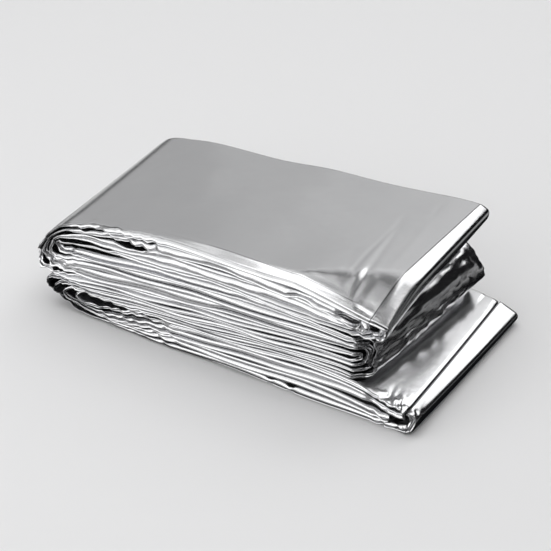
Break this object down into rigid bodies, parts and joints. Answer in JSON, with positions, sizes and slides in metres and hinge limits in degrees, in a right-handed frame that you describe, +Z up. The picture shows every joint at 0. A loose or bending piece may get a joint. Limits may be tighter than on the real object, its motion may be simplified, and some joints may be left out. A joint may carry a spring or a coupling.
{
  "type": "emergency foil blanket",
  "caption": "Silver foil emergency blanket folded to a flat packet: one thin metallised sheet laid back and forth in four leaves of four plies.",
  "frame": {"origin": "middle of the packet's underside, where it lies on the surface", "axes": "+X along the packet towards the end where the bottom leaf sticks out, +Y from the front edge to the back edge, +Z up"},
  "size_m": [0.161, 0.08, 0.0439],
  "materials": {
    "silver_foil": "mirror-bright metallised film, softly creased"
  },
  "bodies": {
    "root": {"foil_blanket": "silver_foil"}
  },
  "joints": []
}
